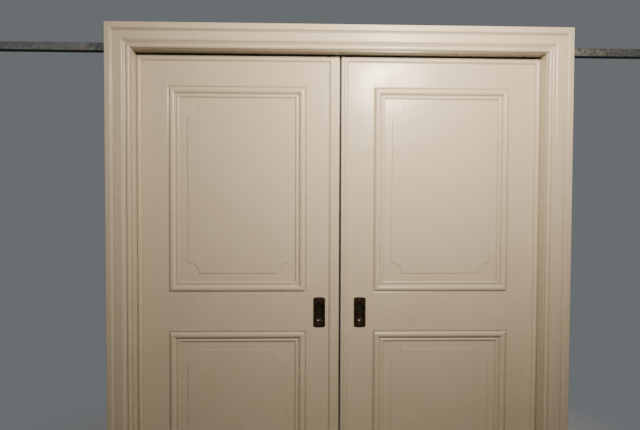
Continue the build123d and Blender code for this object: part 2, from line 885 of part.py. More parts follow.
# Leaves
right_strips = edge_strips(strip_meeting_width_right)
left_strips = left(edge_strips(strip_meeting_width_left))
for side, strips, place_piece in (("right", right_strips, None), ("left", left_strips, left)):
    mouldings = panel_mouldings()
    pull = flush_pull()
    screws = pull_screws()
    pieces = {
        "outer_stile": outer_stile(),
        "meeting_stile": meeting_stile(),
        "top_rail": top_rail(),
        "lock_rail": lock_rail(),
        "bottom_rail": bottom_rail(),
        "upper_panel": upper_panel(),
        "lower_panel": lower_panel(),
        "mouldings_front": mouldings,
        "mouldings_back": group([back(mouldings)]),
        "pull_front": pull,
        "pull_back": back(pull),
        "pull_screws": group([screws, back(screws)]),
        "hanger_plates": hanger_plates(),
        "hanger_screws": hanger_screws(),
        "hanger_bolts": hanger_bolts(),
        "trolleys": trolleys(),
        "meeting_wheels": wheels(hanger_places[0]),
        "outer_wheels": wheels(hanger_places[1]),
    }
    for name, piece in pieces.items():
        if place_piece:
            piece = group([place_piece(piece)])
        save(piece, f"{side}_{name}")
    save(strips, f"{side}_edge_strips_front")
    save(group([back(strips)]), f"{side}_edge_strips_back")

# Frame
front_right_jamb = jamb()
front_leg = casing_leg(casing_section())
front_head = casing_head(casing_section())
front_backband = backbands()
save(front_right_jamb, "jamb_front_right")
save(left(front_right_jamb), "jamb_front_left")
save(back(front_right_jamb), "jamb_back_right")
save(back(left(front_right_jamb)), "jamb_back_left")
save(head_jamb(), "head_jamb_front")
save(back(head_jamb()), "head_jamb_back")
save(front_leg, "casing_front_right")
save(left(front_leg), "casing_front_left")
save(front_head, "casing_front_head")
save(back(front_leg), "casing_back_right")
save(back(left(front_leg)), "casing_back_left")
save(back(front_head), "casing_back_head")
save(front_backband, "backband_front")
save(group([back(front_backband)]), "backband_back")
save(header(), "header")
save(track(), "track")
save(track_screws(), "track_screws")
save(track_stops(), "track_stops")
save(floor_guides(), "floor_guides")
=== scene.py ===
# %% [markdown]
# # Double pocket doors, dressed for a picture
#
# The frame that this script loads holds a pair of panelled doors that slide into the wall, with
# their jambs, their moulded casing and the track and trolleys that they hang from. Every solid is
# already at its real size and place. What is left for Blender is what a painter and a locksmith
# would see: brushed paint, soft painted edges, patinated pulls and bright zinc.
#
# Everything here is in metres. X runs across the doorway, -Y is the front and Z is up.

import json
import math

import bpy
import numpy as np
from mathutils import Matrix, Vector


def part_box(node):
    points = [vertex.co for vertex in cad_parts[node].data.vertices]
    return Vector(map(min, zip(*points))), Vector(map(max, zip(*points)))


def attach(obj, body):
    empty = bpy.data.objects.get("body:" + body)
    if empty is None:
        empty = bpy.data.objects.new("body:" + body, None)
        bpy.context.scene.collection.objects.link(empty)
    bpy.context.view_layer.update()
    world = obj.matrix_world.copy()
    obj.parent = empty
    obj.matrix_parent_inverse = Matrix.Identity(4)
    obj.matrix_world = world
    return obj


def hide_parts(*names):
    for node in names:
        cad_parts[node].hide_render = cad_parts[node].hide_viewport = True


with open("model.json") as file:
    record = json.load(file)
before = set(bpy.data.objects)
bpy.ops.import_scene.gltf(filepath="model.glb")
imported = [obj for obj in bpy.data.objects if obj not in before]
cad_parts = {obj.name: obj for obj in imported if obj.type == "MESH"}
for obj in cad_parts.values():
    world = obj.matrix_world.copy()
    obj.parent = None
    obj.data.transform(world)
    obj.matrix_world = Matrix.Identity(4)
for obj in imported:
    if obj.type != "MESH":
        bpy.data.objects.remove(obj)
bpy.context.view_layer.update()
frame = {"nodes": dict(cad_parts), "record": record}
nodes = frame["nodes"]
slot_of = {part["node"]: part["material_slot"] for part in frame["record"]["subparts"]}
members_of = frame["record"]["behaviour"]["bodies"]
body_of = {node: body for body, members in members_of.items() for node in members}
MM = 0.001

# %% [markdown]
# ## Colours
#
# A paint card or a photograph gives a colour in sRGB, which is bent to suit the eye. Shaders add
# and multiply light, so they need it straight. One function turns a hex code into linear light.

# %% Turn a hex colour into linear light


def linear(code):
    """The linear light of an sRGB hex code: a channel c is c / 12.92 up to 0.04045, and above
    that (c + 0.055) / 1.055 to the power 2.4."""
    channels = np.array([int(code[i:i + 2], 16) for i in (1, 3, 5)]) / 255
    straight = np.where(channels <= 0.04045, channels / 12.92, ((channels + 0.055) / 1.055) ** 2.4)
    return (*straight.tolist(), 1.0)


print("fresh paint in linear light:", [round(c, 3) for c in linear("#EAE3D1")])

# %% [markdown]
# ## One way to add a node
#
# A material is a small graph. This helper adds a node, sets its own properties, and fills its
# sockets: with a number where a number is given, and with a link where an output is given.

# %% Add a node to a material


def node(material, kind, sockets=None, **properties):
    """One shader node of a kind, in a material or in the world. sockets maps a socket's name or
    number to a value or to another node's output."""
    new = material.node_tree.nodes.new("ShaderNode" + kind)
    for name, value in properties.items():
        setattr(new, name, value)
    for socket, value in (sockets or {}).items():
        if isinstance(value, bpy.types.NodeSocket):
            material.node_tree.links.new(value, new.inputs[socket])
        else:
            new.inputs[socket].default_value = value
    return new


def blank_material(name):
    """A material with an empty graph but for its output."""
    material = bpy.data.materials.new(name)
    material.use_nodes = True
    material.node_tree.nodes.clear()
    output = material.node_tree.nodes.new("ShaderNodeOutputMaterial")
    return material, output.inputs["Surface"]


def finish_material(material, surface, shader):
    """Join the shader to the material's surface."""
    material.node_tree.links.new(shader.outputs[0], surface)
    return material


# The Mix node keeps its colour sockets under these numbers
FACTOR, COLOUR_A, COLOUR_B, COLOUR_OUT = 0, 6, 7, 2

# %% [markdown]
# ## Satin paint on planed softwood
#
# The doors and their trim have been painted many times by brush with an oil-based satin. The
# brush leaves long shallow ridges that run with the grain: up and down on the stiles, across on
# the rails. They are about a millimetre wide. That is finer than a pixel here, so they are drawn
# about three millimetres wide, which still reads as brushwork. The coats also pool a little, so
# the sheen and the tone drift slowly over a hand's breadth.
#
# A stretched noise on object coordinates makes the ridges: it is squeezed across the brush and
# drawn out along it. Paint has an IOR of about 1.5. Years of wiping have polished the satin, so
# its roughness drifts between 0.22 and 0.34. Ambient occlusion says how much of its surroundings
# a point sees: 1 on an open face and less in the quirk of a moulding. Where it is low the paint
# is darkened, which is painted shade with some dirt. A bevel in the shader turns the light round
# the arrises, as a thick coat of paint does. A near-black band is painted along the line where
# the stiles meet: the painted shadow of the slit between the doors. The head jambs are painted
# much greyer and darker than the rest: painted shade under the head, with some dirt.

# %% Satin paint
BRUSH_WIDTH = 3.0 * MM
BRUSH_LENGTH = 260 * MM
POOL_SIZE = 140 * MM
# Ambient occlusion within this reach darkens the hollows: painted shade, with some dirt
SHADE_AND_DUST_REACH = 7 * MM
DEEPEST_SHADE_AND_DUST, NO_SHADE_AND_DUST = 0.3, 0.93
SHADE_AND_DUST_COVER = 0.85
EDGE_SOFTNESS = 1.2 * MM
RIDGE_HEIGHT = 0.25 * MM
SATIN_SMOOTH, SATIN_ROUGH = 0.22, 0.34
# A near-black band this far either side of the middle is the painted shadow of the slit between the doors
SLIT_SHADOW_FULL, SLIT_SHADOW_GONE = 3.6 * MM, 5.0 * MM
SLIT_SHADOW_COVER = 0.92


def satin_paint(name, along, fresh="#EAE3D1", aged="#E0D7C2", shade_and_dust="#8A806E", slit_shadow_edge=False):
    """Brushed satin paint whose strokes run along an axis, 0 for X, 1 for Y and 2 for Z. Its darkest
    colour is mixed into the hollows by ambient occlusion, as painted shade with some dirt. On the
    meeting edge it paints near black what lies within a few millimetres of the line where the two
    doors meet, the painted shadow of the slit between them."""
    material, surface = blank_material(name)
    place = node(material, "TexCoord").outputs["Object"]
    stretch = [1 / BRUSH_WIDTH] * 3
    stretch[along] = 1 / BRUSH_LENGTH
    brushed = node(material, "Mapping", {"Vector": place, "Scale": stretch})
    ridges = node(material, "TexNoise", {"Vector": brushed.outputs[0], "Scale": 1.0, "Detail": 2.0})
    pools = node(material, "TexNoise", {"Vector": place, "Scale": 1 / POOL_SIZE, "Detail": 3.0})
    # Painted shade with some dirt: where ambient occlusion is low, the tone turns towards the darkest
    # colour
    hollow = node(material, "AmbientOcclusion", {"Distance": SHADE_AND_DUST_REACH}, samples=4)
    corner = node(material, "MapRange", {
        "Value": hollow.outputs["AO"], "From Min": DEEPEST_SHADE_AND_DUST, "From Max": NO_SHADE_AND_DUST,
        "To Min": SHADE_AND_DUST_COVER, "To Max": 0.0,
    })
    drift = node(material, "Mix", {
        FACTOR: pools.outputs[0], COLOUR_A: linear(fresh), COLOUR_B: linear(aged),
    }, data_type="RGBA")
    tone = node(material, "Mix", {
        FACTOR: corner.outputs[0], COLOUR_A: drift.outputs[COLOUR_OUT], COLOUR_B: linear(shade_and_dust),
    }, data_type="RGBA")
    # Painted shadow of the slit between the doors: near black within a few millimetres of the middle
    if slit_shadow_edge:
        sides = node(material, "SeparateXYZ", {0: place})
        from_middle = node(material, "Math", {0: sides.outputs["X"]}, operation="ABSOLUTE")
        slit_shadow = node(material, "MapRange", {
            "Value": from_middle.outputs[0], "From Min": SLIT_SHADOW_FULL, "From Max": SLIT_SHADOW_GONE,
            "To Min": SLIT_SHADOW_COVER, "To Max": 0.0,
        }, interpolation_type="SMOOTHSTEP")
        tone = node(material, "Mix", {
            FACTOR: slit_shadow.outputs[0], COLOUR_A: tone.outputs[COLOUR_OUT], COLOUR_B: linear("#1E1914"),
        }, data_type="RGBA")
    gloss = node(material, "MapRange", {
        "Value": pools.outputs[0], "From Min": 0.3, "From Max": 0.7,
        "To Min": SATIN_SMOOTH, "To Max": SATIN_ROUGH,
    })
    soft = node(material, "Bevel", {"Radius": EDGE_SOFTNESS}, samples=4)
    relief = node(material, "Bump", {
        "Height": ridges.outputs[0], "Strength": 0.28, "Distance": RIDGE_HEIGHT,
        "Normal": soft.outputs[0],
    })
    shader = node(material, "BsdfPrincipled", {
        "Base Color": tone.outputs[COLOUR_OUT], "Roughness": gloss.outputs[0],
        "Normal": relief.outputs[0], "IOR": 1.5,
    })
    return finish_material(material, surface, shader)


paint_across = satin_paint("satin_paint_across", 0)
paint_upright = satin_paint("satin_paint_upright", 2)
# The meeting stiles and edge strips carry the painted shadow of the slit between the doors
paint_meeting_edge = satin_paint("satin_paint_meeting_edge", 2, slit_shadow_edge=True)
# The head jambs take a much greyer, darker paint: painted shade under the head, with some dirt
paint_soffit_shade = satin_paint("satin_paint_soffit_shade", 0, fresh="#A09A8E", aged="#928B7E", shade_and_dust="#6E685C")

# %% [markdown]
# ## Patinated brass
#
# The flush pulls are pressed brass under a brown-black patina, which is thinner in soft clouds
# where it has been rubbed. The patina is an oxide, so the shader is only a little over half metal,
# and a thin clear lacquer gives the small sharp lights. A metal keeps the default IOR.

# %% Patinated brass
PATINA_CLOUD = 9 * MM
PATINA_GRAIN = 1.2 * MM
PATINA_RELIEF = 0.1 * MM
PRESSED_EDGE = 0.4 * MM


def patinated_brass(name, dark="#332A21", rubbed="#8A7152"):
    """Brown-black patina, thinner in soft clouds, under a thin clear lacquer."""
    material, surface = blank_material(name)
    place = node(material, "TexCoord").outputs["Object"]
    clouds = node(material, "TexNoise", {"Vector": place, "Scale": 1 / PATINA_CLOUD, "Detail": 5.0})
    grain = node(material, "TexNoise", {"Vector": place, "Scale": 1 / PATINA_GRAIN, "Detail": 2.0})
    thin = node(material, "MapRange", {
        "Value": clouds.outputs[0], "From Min": 0.5, "From Max": 0.75, "To Min": 0.0, "To Max": 0.5,
    })
    tone = node(material, "Mix", {
        FACTOR: thin.outputs[0], COLOUR_A: linear(dark), COLOUR_B: linear(rubbed),
    }, data_type="RGBA")
    gloss = node(material, "MapRange", {
        "Value": clouds.outputs[0], "From Min": 0.3, "From Max": 0.7, "To Min": 0.46, "To Max": 0.34,
    })
    soft = node(material, "Bevel", {"Radius": PRESSED_EDGE}, samples=4)
    relief = node(material, "Bump", {
        "Height": grain.outputs[0], "Strength": 0.2, "Distance": PATINA_RELIEF,
        "Normal": soft.outputs[0],
    })
    shader = node(material, "BsdfPrincipled", {
        "Base Color": tone.outputs[COLOUR_OUT], "Roughness": gloss.outputs[0],
        "Normal": relief.outputs[0], "Metallic": 0.6, "Coat Weight": 0.8, "Coat Roughness": 0.22,
    })
    return finish_material(material, surface, shader)


dark_bronze = patinated_brass("patinated_brass")

# %% [markdown]
# ## How a shape becomes a mesh
#
# The pulls and their screws are worked out as rings of points, one ring after another from the
# back of the piece to its front. A ring joins the next one with four-sided faces, and a point in
# the middle closes each end. The signed volume says whether the faces point outwards.

# %% Rings into a closed mesh
# Two faces that meet at more than this angle keep a crisp edge between them
SHARP_ANGLE = math.radians(38)


def signed_volume(points, triangles):
    """A sixth of the sum, over all triangles, of a corner dotted with the cross of the others."""
    a, b, c = (points[triangles[:, i]] for i in range(3))
    return np.einsum("ij,ij->i", a, np.cross(b, c)).sum() / 6


def ring_faces(count, size):
    """Faces of a shell of count rings of size points, followed by its two poles. Point s of ring
    r has the number r times size plus s."""
    ring, step = np.meshgrid(np.arange(count - 1), np.arange(size), indexing="ij")
    after = (step + 1) % size
    here, next_ring = ring * size, (ring + 1) * size
    corners = [here + step, here + after, next_ring + after, next_ring + step]
    quads = np.stack(corners, axis=-1).reshape(-1, 4)
    around = np.arange(size)
    onward = (around + 1) % size
    last = (count - 1) * size
    back_pole = np.full(size, count * size)
    caps = np.concatenate([
        np.stack([back_pole, onward, around], axis=1),
        np.stack([back_pole + 1, last + around, last + onward], axis=1),
    ])
    return quads, caps


def closed_piece(name, shells, material):
    """One object from closed shells. A shell is an array of rings, points and coordinates, in
    metres. Each end ring is filled round the middle of its points."""
    points, faces, start = [], [], 0
    for shell in shells:
        count, size, _ = shell.shape
        poles = np.stack([shell[0].mean(axis=0), shell[-1].mean(axis=0)])
        quads, caps = ring_faces(count, size)
        own = np.concatenate([shell.reshape(-1, 3), poles])
        halves = np.concatenate([quads[:, [0, 1, 2]], quads[:, [0, 2, 3]], caps])
        if signed_volume(own, halves) < 0:
            quads, caps = quads[:, ::-1], caps[:, ::-1]
        points.append(own)
        faces += (quads + start).tolist() + (caps + start).tolist()
        start += len(own)
    mesh = bpy.data.meshes.new(name)
    mesh.from_pydata(np.concatenate(points).tolist(), [], faces)
    mesh.polygons.foreach_set("use_smooth", np.ones(len(faces), dtype=bool))
    mesh.set_sharp_from_angle(angle=SHARP_ANGLE)
    mesh.materials.append(material)
    piece = bpy.data.objects.new(name, mesh)
    bpy.context.scene.collection.objects.link(piece)
    return piece


def set_on_face(local, centre, side):
    """Turn points given across, outwards and up into the scene's axes, round a centre on the
    door's middle plane. Side is 1 for the front, which faces -Y, and -1 for the back."""
    across, out, up = np.moveaxis(local, -1, 0)
    return np.stack([centre[0] + side * across, -side * out, centre[2] + up], axis=-1)


# %% [markdown]
# ## The flush pulls
#
# A pull is one pressed sheet of brass: a plate with gently arched ends, and a long cup for the
# fingertips that is drawn down through the middle of the plate. The press leaves no sharp corner,
# so the plate's edge and the lip of the cup are rolled over, and the cup is a round-ended trough.
#
# Two outlines are needed. The plate is made of arcs that keep their centres as it shrinks. The
# trough is a stadium, whose distance from the centre is known for every direction. Both are
# taken at the same directions, so that a ring of one can be joined to a ring of the other. The
# plate's width and length come from the frame's own pull, so the new one fills the same place.

# %% Outlines of the plate and of the cup
pull_low, pull_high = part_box("left_pull_front")
PULL_HALF_WIDTH = (pull_high[0] - pull_low[0]) / 2
PULL_HALF_LENGTH = (pull_high[2] - pull_low[2]) / 2
LEAF_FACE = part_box("left_meeting_stile")[1][1]
PULL_ARCH, PULL_CORNER = 3.0 * MM, 6.5 * MM
PULL_THICKNESS, PULL_EDGE_ROLL = 2.2 * MM, 1.3 * MM
CUP_HALF_WIDTH, CUP_HALF_LENGTH = 18.0 * MM, 44.0 * MM
CUP_DEPTH, CUP_WALL, CUP_LIP = 11.0 * MM, 1.6 * MM, 1.2 * MM
CUP_END_SLOPE = 11.0 * MM
CORNER_STEPS, ARCH_STEPS, SIDE_STEPS = 9, 10, 15


def plate_outline(inset):
    """Side, corner and arched end of the plate, shrunk by an inset. The arch has radius
    (w * w + a * a) / 2a for half-width w and rise a. The corner's centre lies one corner radius
    in from the side and from the arch. One quarter is worked out and mirrored to all four."""
    arch = (PULL_HALF_WIDTH ** 2 + PULL_ARCH ** 2) / (2 * PULL_ARCH)
    arch_middle = PULL_HALF_LENGTH - arch
    corner_x = PULL_HALF_WIDTH - PULL_CORNER
    corner_y = arch_middle + math.sqrt((arch - PULL_CORNER) ** 2 - corner_x ** 2)
    lean = math.asin(corner_x / (arch - PULL_CORNER))
    turn = np.linspace(0, np.pi / 2 - lean, CORNER_STEPS)
    sweep = np.linspace(lean, 0, ARCH_STEPS)[1:]
    up_side = np.linspace(0, corner_y, SIDE_STEPS)[:-1]
    side = np.stack([np.full_like(up_side, PULL_HALF_WIDTH - inset), up_side], axis=1)
    round_corner = np.stack([np.cos(turn), np.sin(turn)], axis=1) * (PULL_CORNER - inset)
    round_end = np.stack([np.sin(sweep), np.cos(sweep)], axis=1) * (arch - inset)
    quarter = np.concatenate([side, round_corner + (corner_x, corner_y), round_end + (0, arch_middle)])
    half = np.concatenate([quarter, quarter[-2::-1] * (-1, 1)])
    return np.concatenate([half, half[-2:0:-1] * (1, -1)])


plate_rim = plate_outline(0)
RAYS = np.arctan2(plate_rim[:, 1], plate_rim[:, 0])


def cup_outline(half_width):
    """A stadium seen along each ray: half_width over the cosine where the ray meets a side, and
    L sin + sqrt(r r - L L cos cos) where it meets a round end of radius r, L from the middle.
    L shrinks a little with the width, so the ends of the cup slope more gently than its sides."""
    narrowed = np.clip(1 - half_width / CUP_HALF_WIDTH, 0, 1)
    straight = CUP_HALF_LENGTH - CUP_HALF_WIDTH - CUP_END_SLOPE * narrowed
    sine, cosine = np.abs(np.sin(RAYS)), np.abs(np.cos(RAYS))
    beside = half_width / np.maximum(cosine, 1e-9)
    beyond = straight * sine + np.sqrt(np.maximum(half_width ** 2 - (straight * cosine) ** 2, 0))
    reach = np.where(half_width * sine <= straight * cosine, beside, beyond)
    return np.stack([reach * np.cos(RAYS), reach * np.sin(RAYS)], axis=1)


def lift(outline, out):
    """A ring in the pull's own axes: across, outwards from the door's middle plane, and up."""
    return np.stack([outline[:, 0], np.full(len(outline), LEAF_FACE + out), outline[:, 1]], axis=1)


# %% [markdown]
# The rings run from the hidden back of the cup, up its outside, under the plate, round the
# plate's edge, over the lip and down into the cup. The cup's wall and floor are one curve, a
# superellipse: (r / R) to the power 2.6 plus (d / D) to the power 2.6 is 1, for the distance r
# from the middle line and the depth d. Inside FLOOR_START the floor is almost flat.

# %% One pull
CUP_POWER = 2.6
FLOOR_START = 7.0 * MM
FLOOR_DISH = 0.15 * MM
FLOOR_RINGS = (0.75, 0.5, 0.25)
OUTSIDE_RINGS, INSIDE_RINGS, ROLL_RINGS = 12, 18, 6


def trough(half_width, depth, floor, count):
    """Half-widths and depths down the superellipse, to where the floor begins."""
    fullest = math.acos(min(1.0, (floor / half_width) ** (CUP_POWER / 2)))
    turn = np.linspace(0, fullest, count)
    return half_width * np.cos(turn) ** (2 / CUP_POWER), depth * np.sin(turn) ** (2 / CUP_POWER)


def pull_rings():
    """All rings of one pull, from the back of its cup to the cup's floor."""
    widths, depths = trough(CUP_HALF_WIDTH + CUP_WALL, CUP_DEPTH + CUP_WALL, FLOOR_START, OUTSIDE_RINGS)
    outside = [lift(cup_outline(w), -d) for w, d in zip(widths[::-1], depths[::-1])]
    under = [lift(plate_rim, 0.0)]
    edge, lip = [], []
    for turn in np.linspace(0, np.pi / 2, ROLL_RINGS):
        flat, steep = 1 - math.cos(turn), 1 - math.sin(turn)
        edge.append(lift(plate_outline(PULL_EDGE_ROLL * flat), PULL_THICKNESS - PULL_EDGE_ROLL * steep))
        lip.append(lift(cup_outline(CUP_HALF_WIDTH + CUP_LIP * steep), PULL_THICKNESS - CUP_LIP * flat))
    top = PULL_THICKNESS - CUP_LIP
    widths, depths = trough(CUP_HALF_WIDTH, CUP_DEPTH + top, FLOOR_START, INSIDE_RINGS)
    inside = [lift(cup_outline(w), top - d) for w, d in zip(widths[1:], depths[1:])]
    floor_rim = cup_outline(FLOOR_START)
    dish = [lift(floor_rim * share, FLOOR_DISH * share - CUP_DEPTH) for share in FLOOR_RINGS]
    return np.stack(outside + under + edge + lip + inside + dish)


pull_shape = pull_rings()
print("one pull:", pull_shape.shape[0], "rings of", pull_shape.shape[1], "points")

# %% [markdown]
# ## The slotted screws
#
# Each pull is held by two brass screws with round heads and a single slot. The head is cut into
# slices across the slot: every slice is a closed loop, domed in front and flat behind, and the
# slices inside the slot are lower. The shank is a surface of revolution whose radius rises and
# falls once along each pitch and once round each turn, which is what a thread is.

# %% One screw
SCREW_HEAD, SCREW_DOME = 4.5 * MM, 2.2 * MM
SLOT_HALF, SLOT_DEPTH, SLOT_WALL = 0.5 * MM, 1.2 * MM, 0.04 * MM
HEAD_SINK, SLOT_FLOOR = 0.3 * MM, -0.1 * MM
HEAD_SLICES, HEAD_STEPS = 27, 40
SHANK_RADIUS, SHANK_LENGTH, SHANK_PLAIN, SHANK_POINT = 1.9 * MM, 13.5 * MM, 3.0 * MM, 3.0 * MM
THREAD_PITCH, THREAD_DEPTH, POINT_BLUNT = 1.4 * MM, 0.45 * MM, 0.06
SHANK_RINGS, SHANK_STEPS = 110, 20
SCREW_INSET = 12.5 * MM
SCREW_REACH = PULL_HALF_LENGTH - SCREW_INSET
SCREW_SEAT = LEAF_FACE + PULL_THICKNESS


def screw_head(tilt):
    """Slices at x = R sin s. A slice goes round by an angle t: across it, c cos t for its half
    chord c, and outwards, the dome sqrt(1 - q q) for the distance q from the middle over R, less
    the slot, in front, and a flat face behind, which sits a little way into the plate."""
    slot_steps = np.array([-SLOT_HALF - SLOT_WALL, -SLOT_HALF, SLOT_HALF, SLOT_HALF + SLOT_WALL])
    even = SCREW_HEAD * np.sin(np.linspace(-np.pi / 2, np.pi / 2, HEAD_SLICES))[1:-1]
    x = np.sort(np.concatenate([even[np.abs(even) > SLOT_HALF + 2 * SLOT_WALL], slot_steps]))
    t = np.linspace(0, 2 * np.pi, HEAD_STEPS, endpoint=False)
    chord = np.sqrt(SCREW_HEAD ** 2 - x ** 2)[:, None]
    along = chord * np.cos(t)[None, :]
    away = np.sqrt(x[:, None] ** 2 + along ** 2) / SCREW_HEAD
    dome = SCREW_DOME * np.sqrt(np.maximum(1 - away ** 2, 0))
    cut = np.where(np.abs(x) <= SLOT_HALF, SLOT_DEPTH, 0.0)[:, None]
    front = np.maximum(dome - cut, SLOT_FLOOR)
    out = np.where(np.sin(t)[None, :] > 1e-6, front, -HEAD_SINK)
    wide = np.broadcast_to(x[:, None], along.shape)
    across = wide * math.cos(tilt) - along * math.sin(tilt)
    up = wide * math.sin(tilt) + along * math.cos(tilt)
    return np.stack([across, SCREW_SEAT + out, up], axis=-1)


def screw_shank():
    """Radius at depth d and angle t: the full radius less the thread's depth times a triangle
    wave of d over the pitch less t over a full turn. The first stretch has no thread, and the
    last one narrows to a point."""
    depth = np.linspace(0, SHANK_LENGTH + PULL_THICKNESS, SHANK_RINGS)[:, None]
    t = np.linspace(0, 2 * np.pi, SHANK_STEPS, endpoint=False)[None, :]
    wave = np.abs((depth / THREAD_PITCH - t / (2 * np.pi)) % 1.0 - 0.5) * 2
    thread = np.where(depth < SHANK_PLAIN, SHANK_RADIUS, SHANK_RADIUS - THREAD_DEPTH * wave)
    point = np.clip((depth[-1] - depth) / SHANK_POINT, POINT_BLUNT, 1.0)
    radius = thread * point
    out = np.broadcast_to(SCREW_SEAT - depth, radius.shape)
    return np.stack([radius * np.cos(t), out, radius * np.sin(t)], axis=-1)


# %% [markdown]
# ## The metals that hang the doors
#
# Three zinc finishes are behind the head. Hot-dip galvanising freezes into spangles, flat
# crystals about a centimetre across, each a slightly different grey. Electroplated zinc is
# finer and brighter, with a faint yellow bloom. Die-cast zinc is dull and slightly grainy.

# %% Zinc finishes
SPANGLE = 11 * MM
PLATING_BLOOM = 14 * MM
CAST_GRAIN = 0.8 * MM
CAST_RELIEF = 0.1 * MM
CAST_STAIN = 14 * MM


def galvanised_steel(name, pale="#A6ABAD", dull="#94999C"):
    """Spangled zinc: one grey to each cell of a Voronoi pattern."""
    material, surface = blank_material(name)
    place = node(material, "TexCoord").outputs["Object"]
    crystals = node(material, "TexVoronoi", {"Vector": place, "Scale": 1 / SPANGLE})
    shade = node(material, "SeparateColor", {0: crystals.outputs["Color"]})
    tone = node(material, "Mix", {
        FACTOR: shade.outputs[0], COLOUR_A: linear(pale), COLOUR_B: linear(dull),
    }, data_type="RGBA")
    gloss = node(material, "MapRange", {"Value": shade.outputs[1], "To Min": 0.38, "To Max": 0.6})
    shader = node(material, "BsdfPrincipled", {
        "Base Color": tone.outputs[COLOUR_OUT], "Roughness": gloss.outputs[0], "Metallic": 1.0,
    })
    return finish_material(material, surface, shader)


def plated_zinc(name, bright="#C9CBC8", bloom="#BFB38A"):
    """Bright zinc plating with a faint yellow bloom."""
    material, surface = blank_material(name)
    place = node(material, "TexCoord").outputs["Object"]
    clouds = node(material, "TexNoise", {"Vector": place, "Scale": 1 / PLATING_BLOOM, "Detail": 3.0})
    amount = node(material, "MapRange", {
        "Value": clouds.outputs[0], "From Min": 0.42, "From Max": 0.7, "To Min": 0.0, "To Max": 0.5,
    })
    tone = node(material, "Mix", {
        FACTOR: amount.outputs[0], COLOUR_A: linear(bright), COLOUR_B: linear(bloom),
    }, data_type="RGBA")
    gloss = node(material, "MapRange", {"Value": clouds.outputs[0], "To Min": 0.24, "To Max": 0.42})
    shader = node(material, "BsdfPrincipled", {
        "Base Color": tone.outputs[COLOUR_OUT], "Roughness": gloss.outputs[0], "Metallic": 1.0,
    })
    return finish_material(material, surface, shader)


def cast_zinc(name, tone="#7D8082", stain="#5F6163"):
    """Dull die-cast zinc with a fine grain from the die."""
    material, surface = blank_material(name)
    place = node(material, "TexCoord").outputs["Object"]
    grain = node(material, "TexNoise", {"Vector": place, "Scale": 1 / CAST_GRAIN, "Detail": 3.0})
    patches = node(material, "TexNoise", {"Vector": place, "Scale": 1 / CAST_STAIN, "Detail": 2.0})
    colour = node(material, "Mix", {
        FACTOR: patches.outputs[0], COLOUR_A: linear(tone), COLOUR_B: linear(stain),
    }, data_type="RGBA")
    relief = node(material, "Bump", {"Height": grain.outputs[0], "Strength": 0.3, "Distance": CAST_RELIEF})
    shader = node(material, "BsdfPrincipled", {
        "Base Color": colour.outputs[COLOUR_OUT], "Roughness": 0.55, "Metallic": 0.9,
        "Normal": relief.outputs[0],
    })
    return finish_material(material, surface, shader)


track_zinc = galvanised_steel("hot_dip_galvanised_steel")
bright_zinc = plated_zinc("zinc_plated_steel")
trolley_zinc = cast_zinc("die_cast_zinc")

# %% [markdown]
# ## Nylon, rubber and bare pine
#
# The wheels are moulded nylon, slightly waxy, with a grey film where they have run. The stops
# are matt rubber. The header is planed pine that nobody painted: pale early wood and darker late
# wood, in lines a few millimetres apart that wander along the board.

# %% Nylon, rubber and pine
NYLON_SMEAR = 9 * MM
RUBBER_GRAIN = 1.0 * MM
RING_SPACING = 6 * MM
RING_RELIEF = 0.2 * MM
RING_DRIFT_ALONG, RING_DRIFT_ACROSS = 1400 * MM, 90 * MM
RING_DRIFT_BANDS = 14.0


def moulded_nylon(name, clean="#E4E0D4", film="#A9A498"):
    """Waxy white nylon under a thin grey film."""
    material, surface = blank_material(name)
    place = node(material, "TexCoord").outputs["Object"]
    smears = node(material, "TexNoise", {"Vector": place, "Scale": 1 / NYLON_SMEAR, "Detail": 4.0})
    amount = node(material, "MapRange", {
        "Value": smears.outputs[0], "From Min": 0.45, "From Max": 0.75, "To Min": 0.0, "To Max": 0.7,
    })
    tone = node(material, "Mix", {
        FACTOR: amount.outputs[0], COLOUR_A: linear(clean), COLOUR_B: linear(film),
    }, data_type="RGBA")
    shader = node(material, "BsdfPrincipled", {
        "Base Color": tone.outputs[COLOUR_OUT], "Roughness": 0.42, "IOR": 1.53,
        "Subsurface Weight": 0.15, "Subsurface Scale": 2 * MM,
    })
    return finish_material(material, surface, shader)


def moulded_rubber(name, black="#1B1B1A", bloom="#3A3936"):
    """Matt rubber with a dusty bloom."""
    material, surface = blank_material(name)
    place = node(material, "TexCoord").outputs["Object"]
    grain = node(material, "TexNoise", {"Vector": place, "Scale": 1 / RUBBER_GRAIN, "Detail": 2.0})
    tone = node(material, "Mix", {
        FACTOR: grain.outputs[0], COLOUR_A: linear(black), COLOUR_B: linear(bloom),
    }, data_type="RGBA")
    shader = node(material, "BsdfPrincipled", {
        "Base Color": tone.outputs[COLOUR_OUT], "Roughness": 0.8, "IOR": 1.52,
    })
    return finish_material(material, surface, shader)


